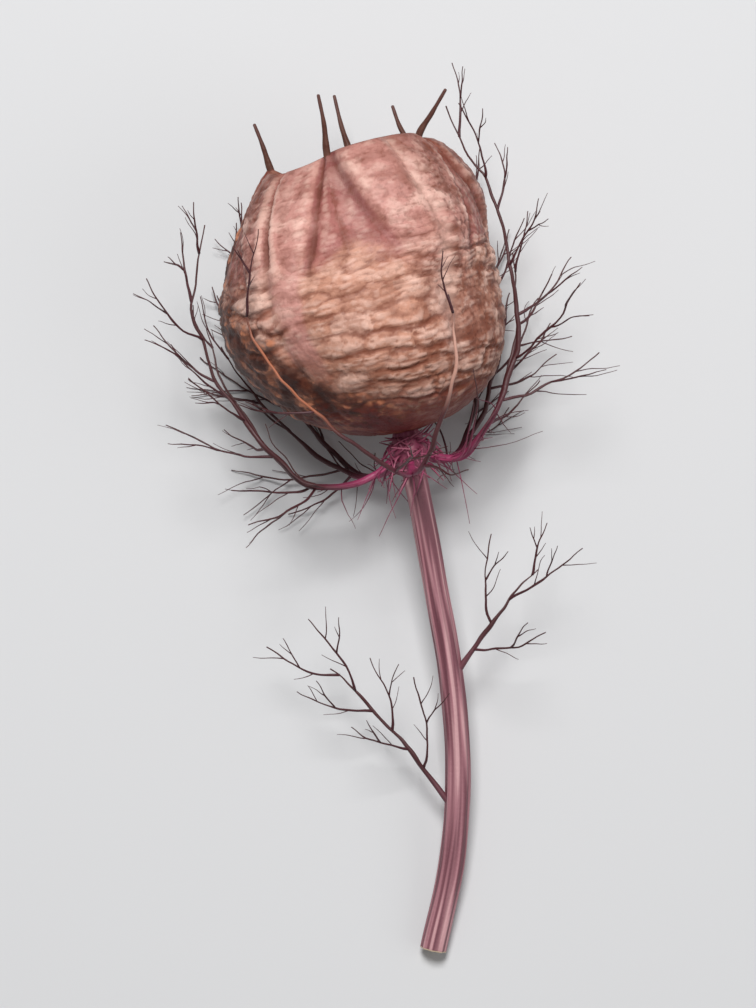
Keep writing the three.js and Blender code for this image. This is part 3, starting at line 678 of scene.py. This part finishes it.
def add_frond(tubes, fine_draw, draw, rib, threads, longest, outward_at, cleared, forked, tone_at):
    """The threads of one rib. tone_at turns a point into its tone, from 0 at the root to 1 far out."""

    def add_thread(curve, steps, sides, radii):
        tubes.tube(
            curve, steps, sides, tapered(radii),
            tone=lambda along, around: tone_at(curve.at(along)), along=lambda along, around: along,
            rib=float(radii is RIB_RADII),
        )

    def add_fine(curve, at, way, outward, length):
        """A hair-thin fork."""
        swing = math.radians(lerp(24, 52, next(fine_draw))) * (1 if next(fine_draw) < 0.5 else -1)
        tilted = unit(turned_about(way, outward, swing) + outward * lerp(-0.15, 0.45, next(fine_draw)))
        bend = outward * lerp(-0.1, 0.2, next(fine_draw)) + way * 0.2
        add_thread(thread_curve(curve.at(at), tilted, bend, length, 0.1, cleared), 8, 5, FINE_RADII)

    add_thread(rib, 70 if forked else 50, 10, RIB_RADII)
    for index in range(threads):
        order = index / (threads - 1)
        at = lerp(0.26, 0.94, order) + 0.03 * (next(draw) - 0.5)
        start = rib.at(at)
        along = rib.tangent(at)
        outward = outward_at(start)
        outward = unit(outward - along * (outward @ along))
        across = np.cross(outward, along) * (1 if index % 2 else -1)
        spread = math.radians(lerp(60, 38, order) + 16 * (next(draw) - 0.5))
        raised = math.radians(lerp(14, 70, next(draw)))
        sidelong = across * math.cos(raised) + outward * math.sin(raised)
        way = along * math.cos(spread) + sidelong * math.sin(spread)
        length = lerp(longest, THREAD_LEAST, order) * lerp(0.8, 1.2, next(draw))
        thread = thread_curve(start, way, along * 0.26 - sidelong * 0.2, length, SOLID_THREAD_RADIUS, cleared)
        add_thread(thread, 18, 7, THREAD_RADII)
        for place in (0.32, 0.72):
            add_fine(thread, place, thread.tangent(place), outward, length * lerp(0.2, 0.42, next(fine_draw)))
        if not forked:
            add_fine(thread, 0.5, thread.tangent(0.5), outward, length * 0.45)
            continue
        side = 1 if next(draw) < 0.5 else -1
        fork_way = turned_about(thread.tangent(0.5), outward, side * math.radians(38))
        fork_way = unit(fork_way + outward * 0.3)
        fork = thread_curve(thread.at(0.5), fork_way, outward * 0.08, length * 0.5, SOLID_THREAD_RADIUS, cleared)
        add_thread(fork, 12, 6, FORK_RADII)
        add_fine(fork, 0.45, fork.tangent(0.45), outward, length * lerp(0.15, 0.3, next(fine_draw)))


def kinked(points):
    """Moves points by smooth noise, so that threads that leave each other stay joined, and keeps them off the table."""
    moved = []
    for place in points:
        slow = noise.noise_vector(Vector(place / 3.4))
        quick = noise.noise_vector(Vector(place / 1.2))
        moved.append(np.array(slow) * 0.42 + np.array(quick) * 0.1)
    made = points + np.array(moved)
    made[:, 2] = np.maximum(made[:, 2], 0)
    return made


first_draws = seeded_draws(SEED)
print("first draws:", [round(next(first_draws), 4) for _ in range(3)])

# %% Build the bracts
ROOT_HAIRS = 12
FRONT_BRACT = 1
WEB_RADII = (0.14, 0.04)
WEB_THREADS = 4


def bract_rib(turn, tuck, drift, reach, flare, first_step):
    route = []
    for step, (radius, height) in list(enumerate(RIB_ROUTE))[first_step:]:
        drifted = math.radians(turn + drift * smoothstep(step, 1, 6))
        tucked = tuck * hump(step - 3.4, 1.7)
        point = pod_point(radius + flare * smoothstep(step, 5, 10) - tucked, drifted, height + 0.3 * tucked)
        route.append(cleared_in_pod(point, SOLID_RIB_RADIUS) if step > 2 else point)
    return Curve(Curve(route).at(np.linspace(0, reach, 12)))


def away_from_axis(point):
    return np.array([point[0], point[1], 0])


def bract_tone(points):
    """0 in the collar to 1 from where a bract has left the base."""
    return smoothstep(np.hypot(points[:, 0], points[:, 1]), 2, 12)


def add_bract(number, turn, tuck, ribs, threads):
    tubes = Tubes()
    draw = seeded_draws(SEED + number - 1)
    fine_draw = seeded_draws(FINE_SEED + number)
    main, side = (bract_rib(turn, tuck, *rib, first_step) for first_step, rib in enumerate(ribs))
    shared = {"outward_at": away_from_axis, "cleared": cleared_in_pod, "tone_at": bract_tone}
    add_frond(tubes, fine_draw, draw, main, threads[0], 9.5, forked=True, **shared)
    add_frond(tubes, fine_draw, draw, side, threads[1], 7, forked=False, **shared)
    for _ in range(0 if number == FRONT_BRACT else WEB_THREADS):
        start = turn + lerp(-14, 14, next(fine_draw))
        drift = lerp(-45, 45, next(fine_draw))
        web = bract_rib(start, tuck, drift, lerp(0.22, 0.46, next(fine_draw)), lerp(0, 3, next(fine_draw)), 0)
        tubes.tube(
            web, 40, 7, tapered(WEB_RADII),
            tone=lambda along, around: bract_tone(web.at(along)), along=lambda along, around: along, rib=0.0,
        )
    for _ in range(ROOT_HAIRS):
        at = lerp(0.02, 0.24, next(fine_draw))
        way = unit(main.tangent(at) + np.array([lerp(-1, 1, next(fine_draw)) for _ in "xyz"]) + np.array([0, 0, -0.5]))
        bend = np.array([lerp(-0.6, 0.6, next(fine_draw)) for _ in "xyz"])
        hair = thread_curve(main.at(at), way, bend, lerp(1.5, 4.5, next(fine_draw)), 0.1, cleared_in_pod)
        tubes.tube(
            hair, 8, 5, tapered(FINE_RADII),
            tone=bract_tone(hair.at(np.array([0.5])))[0], along=lambda along, around: along, rib=0.0,
        )
    upright = np.concatenate(tubes.points)
    free = bract_tone(upright)[:, None]
    points = from_pod(upright)
    points = lerp(points, kinked(points), free)
    values = {name: np.concatenate(parts) for name, parts in tubes.values.items()}
    # front marks where the front bract's ribs get a painted highlight.
    values["front"] = float(number == FRONT_BRACT) * values["rib"] * smoothstep(upright[:, 2], 1, 5)
    values["front"] *= 1 - smoothstep(values["along"], 0.82, 1)
    values["right"] = smoothstep(upright[:, 1], 0, 4)
    return add_piece(f"bract_threads_{number}", [f"bract_{number}"], points, tubes.faces, values)


bracts = [add_bract(number, **bract) for number, bract in enumerate(BRACTS, 1)]

# %% [markdown]
# ## The stem and its leaves
#
# The stem leaves the collar along the pod's axis and comes down to the table. It has eight ribs and fine
# strips between them, and it was cut across, so its end shows a pale ring round a sunken pith.

# %% The stem
STEM_ROUTE = [(6.8, -25, 7.45), (8.2, -33, 5.75), (8.8, -41, 4.05), (8.3, -49, 2.5), (6.6, -57, 1.21)]
STEM_RADIUS = 1.0
STEM_FOOT_RADIUS = 1.12
COLLAR_RADIUS = 1.75
COLLAR_DEPTH = 1.9
COLLAR_FOOT = 5.0
PEG_LENGTH = 1.2


def on_axis(height):
    return from_pod(np.array([0, 0, height]))


stem_line = Curve([on_axis(-1.2), on_axis(-7), *STEM_ROUTE])


def stem_radius(share, angle):
    ribs = 0.06 * np.cos(8 * angle) + 0.014 * np.cos(27 * angle + 2 * math.sin(9 * share))
    return lerp(STEM_RADIUS, STEM_FOOT_RADIUS, share) * (1 + ribs + 0.012 * math.sin(40 * share))


def collar_radius(share, angle):
    depth = lerp(-PEG_LENGTH, COLLAR_FOOT, share)
    closing = np.clip((depth - COLLAR_DEPTH) / (COLLAR_FOOT - COLLAR_DEPTH), 0, 1)
    swell = (COLLAR_RADIUS - STEM_RADIUS) * hump(depth - COLLAR_DEPTH, 1.5)
    plain = np.full_like(angle, STEM_RADIUS)
    return plain if depth < 0 else lerp(STEM_RADIUS, 0.7, closing) + swell * (1 + 0.05 * np.cos(5 * angle))


CUT_END = ((0.95, 0.06), (0.66, 0.04), (0.52, -0.3), (0.2, -0.36))


def strips_at(along, around):
    """Strips that run along the stem."""
    places = np.stack([2.6 * np.cos(around), 2.6 * np.sin(around), along * stem_line.length / 11], axis=-1)
    return noise_at(places, (1, 1, 1)) + 0.5 * noise_at(places + 7, (0.4, 0.4, 0.5))


stem_mesh = Tubes()
stem_mesh.tube(
    stem_line, 220, 80, stem_radius, ends=CUT_END,
    # rise is high on the ribs and low between them, where the bark is painted with shade.
    along=lambda along, around: along, strips=strips_at, rise=lambda along, around: np.cos(8 * around),
)
collar_line = Curve([on_axis(PEG_LENGTH), on_axis(-2), on_axis(-COLLAR_FOOT)])
stem_mesh.tube(
    collar_line, 60, 60, collar_radius,
    along=lambda along, around: 0.12 * along - 0.06, strips=strips_at, rise=lambda along, around: np.cos(10 * around),
)
RUFF_HAIRS = 90
RUFF_RADII = (0.13, 0.04)
ruff_draw = seeded_draws(FINE_SEED + 50)
for _ in range(RUFF_HAIRS):
    depth = lerp(0.3, 3.6, next(ruff_draw))
    turn = lerp(0, 2 * math.pi, next(ruff_draw))
    length = lerp(0.8, 2.6, next(ruff_draw))
    root = 0.85 * float(collar_radius((depth + PEG_LENGTH) / (COLLAR_FOOT + PEG_LENGTH), np.zeros(1))[0])
    rise = lerp(-1.2, 0.5, next(ruff_draw)) * length
    swing = turn + lerp(-0.9, 0.9, next(ruff_draw))
    start = pod_point(root, turn, -depth)
    end = pod_point(root + length * 0.8, swing, -depth + rise)
    bend = pod_point(0.6 * length, lerp(turn, swing, 0.3), 0.1 * rise)
    hair = Curve(from_pod(np.stack([start, start + 0.5 * bend, end])))
    stem_mesh.tube(hair, 8, 6, tapered(RUFF_RADII), along=-0.06, strips=lerp(-0.5, 0.3, next(ruff_draw)), rise=1.0)
stem_values = {name: np.concatenate(parts) for name, parts in stem_mesh.values.items()}
stem = add_piece("stem_skin", ["stem"], np.concatenate(stem_mesh.points), stem_mesh.faces, stem_values)

# %% The leaves on the stem
LEAVES = [
    {"at": 0.46, "side": 1, "length": 11, "rise": 0.18, "threads": 4},
    {"at": 0.72, "side": -1, "length": 15, "rise": 0.03, "threads": 6},
]
LEAF_ANGLE = math.radians(36)


def up_ward(point):
    return np.array([0, 0, 1.0])


def add_leaf(number, at, side, length, rise, threads):
    along = -stem_line.tangent(at)
    across = unit(np.array([along[1], -along[0], 0])) * side
    way = unit(along * math.cos(LEAF_ANGLE) + across * math.sin(LEAF_ANGLE) + np.array([0, 0, rise]))
    bend = across * 0.2 - np.array([0, 0, rise * 0.8])
    start = stem_line.at(at)
    rib = thread_curve(start + across * 0.35, way, bend, length, SOLID_RIB_RADIUS, cleared_on_table)
    tubes = Tubes()
    add_frond(
        tubes, seeded_draws(FINE_SEED + 10 + number), seeded_draws(SEED + len(BRACTS) + number - 1), rib, threads,
        THREAD_LEAST + length * 0.2, up_ward, cleared_on_table, True,
        lambda points: smoothstep(np.linalg.norm(points - start, axis=1), 0, 6),
    )
    values = {name: np.concatenate(parts) for name, parts in tubes.values.items()}
    points = np.concatenate(tubes.points)
    points = lerp(points, kinked(points), values["tone"][:, None])
    return add_piece(f"leaf_threads_{number}", [f"stem_leaf_{number}"], points, tubes.faces, values)


leaves = [add_leaf(number, **leaf) for number, leaf in enumerate(LEAVES, 1)]

# %% [markdown]
# ## Materials
#
# A material is written as arithmetic. A wrapped socket takes part in sums and products, each of which adds a
# Math node, and every other node comes from one method.

# %% Arithmetic with sockets


class Socket:
    """A node's output that takes part in Python arithmetic."""

    def __init__(self, finish, output):
        self.finish = finish
        self.output = output

    def math(self, operation, first, second):
        return self.finish.node("ShaderNodeMath", {"operation": operation}, {0: first, 1: second})

    def __add__(self, other):
        return self.math("ADD", self, other)

    def __radd__(self, other):
        return self.math("ADD", other, self)

    def __sub__(self, other):
        return self.math("SUBTRACT", self, other)

    def __rsub__(self, other):
        return self.math("SUBTRACT", other, self)

    def __mul__(self, other):
        return self.math("MULTIPLY", self, other)

    def __rmul__(self, other):
        return self.math("MULTIPLY", other, self)

    def __abs__(self):
        return self.math("ABSOLUTE", self, 0.0)


class Finish:
    """A material with one Principled shader, and the nodes that feed it."""

    def __init__(self, name, roughness):
        self.material = bpy.data.materials.new(name)
        self.material.use_nodes = True
        self.tree = self.material.node_tree
        self.shader = self.tree.nodes["Principled BSDF"]
        self.shader.inputs["Roughness"].default_value = roughness

    def node(self, kind, settings, sockets, output=0):
        """A node: its settings first, then the values or links of its sockets. Returns one wrapped output."""
        made = self.tree.nodes.new(kind)
        for name, value in settings.items():
            setattr(made, name, value)
        for name, value in sockets.items():
            self.join(value, made.inputs[name])
        return Socket(self, made.outputs[output])

    def join(self, value, target):
        if isinstance(value, Socket):
            self.tree.links.new(value.output, target)
        else:
            target.default_value = value

    def feed(self, **sockets):
        """Joins values to the shader's sockets, with _ for a space in a name."""
        for name, value in sockets.items():
            self.join(value, self.shader.inputs[name.replace("_", " ")])

    def value(self, name):
        """A value that the mesh carries at its points."""
        return self.node("ShaderNodeAttribute", {"attribute_name": name}, {}, "Fac")

    def noise(self, size, detail=3.0, stretch=(1, 1, 1)):
        """Noise from 0 to 1 with features of about a size in millimetres."""
        place = self.node("ShaderNodeTexCoord", {}, {}, "Object")
        scale = [1 / (size * MM * share) for share in stretch]
        scaled = self.node("ShaderNodeVectorMath", {"operation": "MULTIPLY"}, {0: place, 1: scale})
        return self.node("ShaderNodeTexNoise", {}, {"Vector": scaled, "Scale": 1.0, "Detail": detail}, "Fac")

    def between(self, value, low, high):
        """0 below low, 1 above high and a smooth step between."""
        sockets = {"Value": value, "From Min": low, "From Max": high}
        return self.node("ShaderNodeMapRange", {"interpolation_type": "SMOOTHSTEP"}, sockets)

    def mixed(self, factor, first, second):
        """A colour between two."""
        return self.node("ShaderNodeMix", {"data_type": "RGBA"}, {0: factor, 6: first, 7: second}, 2)

    def bump(self, height, depth):
        """A normal from a height, with a depth in millimetres."""
        return self.node("ShaderNodeBump", {}, {"Height": height, "Distance": depth * MM, "Strength": 1.0})


def srgb(red, green, blue):
    """A colour from its everyday 0 to 255 values."""
    shares = [channel / 255 for channel in (red, green, blue)]
    return [share / 12.92 if share <= 0.04045 else ((share + 0.055) / 1.055) ** 2.4 for share in shares] + [1.0]


print("middle grey:", srgb(128, 128, 128)[0])

# %% [markdown]
# ### The capsule's skin
#
# Pale pink on the swollen panels, purple in the facets, gold on the puckered middles, and brown in mottles.
# Painted shade darkens the grooves, the creases, the hollows of the relief and the upper part, and painted
# highlights lighten the ridges. The flanks are browner, partly with their own mottles and partly with painted
# shade. The lower left is nearly black, partly with painted shade, with painted orange glints, and the base is
# maroon, partly with painted shade.

# %% The capsule's skin
PINK = srgb(196, 140, 130)
PURPLE = srgb(164, 100, 96)
PURPLE_SHADE = srgb(104, 54, 56)
GOLD = srgb(194, 140, 118)
OLIVE = srgb(130, 76, 52)
BROWN = srgb(110, 54, 36)
DARK = srgb(52, 20, 14)
DARK_BROWN_AND_SHADE = srgb(82, 38, 24)
LIGHT = srgb(244, 206, 190)
ORANGE = srgb(212, 136, 100)
MAROON_BASE = srgb(112, 40, 38)
HORN_TIP = srgb(96, 66, 62)

skin = Finish("capsule_skin", 0.45)
share = skin.value("share")
cavity_value = skin.value("cavity")
pad = skin.value("pad")
flank = skin.value("flank")
dark = skin.value("dark")
horn = skin.value("horn")
crease_shade_value = skin.value("crease")
broad_spots = skin.between(skin.noise(4.5, 3.0), 0.4, 0.62)
spots = skin.noise(1.5, 5.0, (1.5, 1.0, 1.0))
dark_spots = skin.between(spots, 0.5, 0.6)
pale_spots = 1 - skin.between(spots, 0.38, 0.48)
small_spots = skin.between(skin.noise(0.8, 5.0), 0.48, 0.62)
specks = skin.between(skin.noise(0.4, 4.0), 0.52, 0.68)
colour = skin.mixed(skin.value("pink"), GOLD, PINK)
facet_value = skin.value("facet")
colour = skin.mixed(facet_value * 0.9, colour, PURPLE)
colour = skin.mixed(skin.value("shade") * 0.8, colour, PURPLE_SHADE)
colour = skin.mixed(skin.between(pad, 0.0, 0.4) * 0.5, colour, LIGHT)
colour = skin.mixed(skin.between(0.0 - pad, 0.05, 0.45) * 0.45, colour, BROWN)
# Browner flanks: partly their own mottles and partly painted shade.
colour = skin.mixed(flank * (0.25 + 0.35 * broad_spots), colour, BROWN)
colour = skin.mixed((1 - skin.between(share + 0.1 * broad_spots, 0.16, 0.44)) * 0.7, colour, OLIVE)
colour = skin.mixed(dark_spots * (0.3 + 0.4 * flank), colour, BROWN)
colour = skin.mixed(pale_spots * (0.25 + 0.2 * flank) * (1 - 0.6 * facet_value), colour, LIGHT)
colour = skin.mixed(small_spots * (0.15 + 0.3 * flank), colour, BROWN)
colour = skin.mixed(specks * (0.1 + 0.3 * flank), colour, DARK)
# Painted highlights on the ridges of the relief and painted shade in its hollows.
colour = skin.mixed(skin.between(cavity_value, 0.1, 1.0) * 0.35, colour, LIGHT)
colour = skin.mixed(skin.between(0.0 - cavity_value, 0.1, 0.9) * 0.55, colour, BROWN)
# Painted shade in the grooves between pads and wrinkles.
colour = skin.mixed(skin.value("groove") * 0.75, colour, BROWN)
colour = skin.mixed(skin.value("seam") * 0.5, colour, LIGHT)
# The lower left: dark brown partly painted as shade, with painted orange glints where it is pale and raised.
colour = skin.mixed(dark * 0.9, colour, DARK_BROWN_AND_SHADE)
colour = skin.mixed(dark * dark_spots * 0.75, colour, DARK)
colour = skin.mixed(dark * pale_spots * (0.3 + 0.6 * skin.between(cavity_value, -0.2, 0.6)), colour, ORANGE)
# The maroon base: partly its own colour and partly painted shade.
colour = skin.mixed((1 - skin.between(share + 0.08 * small_spots, 0.06, 0.2)) * 0.7, colour, MAROON_BASE)
colour = skin.mixed(skin.value("glint") * 0.8, colour, ORANGE)
# Painted shade in the creases and slits.
colour = skin.mixed(crease_shade_value * 0.6, colour, DARK)
# Painted shade towards the crown, stronger on the flanks.
colour = skin.mixed(skin.between(share, 0.8, 1.0) * (0.2 + 0.35 * flank), colour, BROWN)
colour = skin.mixed(skin.between(share, 1.0, 1.015) * 0.75, colour, BROWN)
colour = skin.mixed(skin.between(horn, 0.0, 0.35) * 0.85, colour, DARK)
colour = skin.mixed(skin.between(horn, 0.5, 1.0) * 0.6, colour, HORN_TIP)
grain = skin.noise(0.35, 4.0)
skin.feed(
    Base_Color=colour,
    Roughness=0.4 + 0.2 * skin.noise(1.0) + 0.4 * crease_shade_value,
    Specular_IOR_Level=0.22,
    Normal=skin.bump(grain, 0.06),
)
capsule.data.materials.append(skin.material)
print("capsule skin:", len(skin.tree.nodes), "nodes")

# %% [markdown]
# ### Threads and stem
#
# Threads are magenta at the root and dark maroon further out. Those that lie over the front get a painted
# highlight, golden on the left and rose on the right. The stem is mauve with paler strips and painted shade in the
# valleys between its ribs.

# %% Threads and stem
MAGENTA = srgb(150, 52, 92)
MAROON = srgb(70, 28, 34)
TIP_BROWN = srgb(80, 48, 44)
AMBER = srgb(178, 106, 74)
ROSE = srgb(206, 156, 138)
MAUVE = srgb(164, 112, 120)
MAUVE_PALE = srgb(206, 160, 162)
MAUVE_DARK = srgb(110, 62, 72)
PITH = srgb(214, 190, 160)

threads = Finish("bract_threads", 0.5)
tone = threads.value("tone")
colour = threads.mixed(threads.between(tone, 0.1, 0.9), MAGENTA, MAROON)
colour = threads.mixed(threads.value("along") * 0.5, colour, TIP_BROWN)
# Painted highlight, golden on the left and rose on the right, where the front bract's ribs lie over the capsule.
sunlit = threads.mixed(threads.value("right"), AMBER, ROSE)
colour = threads.mixed(threads.value("front") * 0.85, colour, sunlit)
threads.feed(Base_Color=colour, Normal=threads.bump(threads.noise(0.25), 0.03))
for piece in bracts:
    piece.data.materials.append(threads.material)

leaf_finish = Finish("leaf_threads", 0.55)
colour = leaf_finish.mixed(leaf_finish.value("tone"), MAUVE_DARK, MAROON)
colour = leaf_finish.mixed(leaf_finish.value("along") * 0.5, colour, TIP_BROWN)
leaf_finish.feed(Base_Color=colour, Normal=leaf_finish.bump(leaf_finish.noise(0.25), 0.03))
for piece in leaves:
    piece.data.materials.append(leaf_finish.material)

bark = Finish("stem_skin", 0.5)
strips = bark.value("strips")
along_stem = bark.value("along")
colour = bark.mixed(bark.between(strips, -0.35, 0.25), MAUVE_DARK, MAUVE)
colour = bark.mixed(bark.between(strips, 0.15, 0.6) * 0.8, colour, MAUVE_PALE)
# Painted shade in the valleys between the ribs.
colour = bark.mixed(bark.between(0.0 - bark.value("rise"), 0.3, 1.0) * 0.5, colour, MAUVE_DARK)
colour = bark.mixed((1 - bark.between(along_stem, 0.0, 0.09)) * 0.6, colour, MAGENTA)
colour = bark.mixed(bark.between(along_stem, 0.9985, 0.9995), colour, PITH)
bark.feed(Base_Color=colour, Normal=bark.bump(bark.noise(0.3), 0.04))
stem.data.materials.append(bark.material)
print("materials:", [material.name for material in bpy.data.materials])

# %% [markdown]
# ## Table, light and camera
#
# A pale table, a large soft light from the crown's side and above, a weaker one from the left, and light from
# all around. The camera is far off with a long lens, a little short of straight above.

# %% Table, light and camera
TABLE_SIDE = 3.0
CAMERA_ELEVATION = math.radians(84)
CAMERA_LENS = 150.0
FRAME_HEIGHT = 0.0885

low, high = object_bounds()
middle = (low + high) / 2

bpy.ops.mesh.primitive_plane_add(size=TABLE_SIDE, location=(0, 0, 0))
table = bpy.context.object
table.name = "table"
paper = Finish("table_paper", 0.9)
paper.feed(Base_Color=srgb(206, 206, 207))
table.data.materials.append(paper.material)


def add_light(name, place, side, power):
    """A square light that faces the pod."""
    lamp = bpy.data.lights.new(name, "AREA")
    lamp.size = side
    lamp.energy = power
    light = bpy.data.objects.new(name, lamp)
    light.location = place
    light.rotation_euler = (middle - Vector(place)).to_track_quat("-Z", "Y").to_euler()
    bpy.context.scene.collection.objects.link(light)


add_light("key", (-0.02, 0.17, 0.45), 0.16, 2.4)
add_light("fill", (0.36, -0.10, 0.30), 0.30, 0.3)
world = bpy.data.worlds.new("studio")
world.use_nodes = True
world.node_tree.nodes["Background"].inputs["Color"].default_value = srgb(236, 238, 240)
world.node_tree.nodes["Background"].inputs["Strength"].default_value = 0.26
bpy.context.scene.world = world
bpy.context.scene.view_settings.view_transform = "Standard"

lens = bpy.data.cameras.new("camera")
lens.lens = CAMERA_LENS
lens.sensor_width = 36
lens.clip_start = 0.01
camera = bpy.data.objects.new("camera", lens)
back = Vector((0, -math.cos(CAMERA_ELEVATION), math.sin(CAMERA_ELEVATION)))
camera.location = middle + back * (FRAME_HEIGHT * CAMERA_LENS / lens.sensor_width)
camera.rotation_euler = (-back).to_track_quat("-Z", "Y").to_euler()
bpy.context.scene.collection.objects.link(camera)
bpy.context.scene.camera = camera
print("camera, m:", [round(value, 3) for value in camera.location])
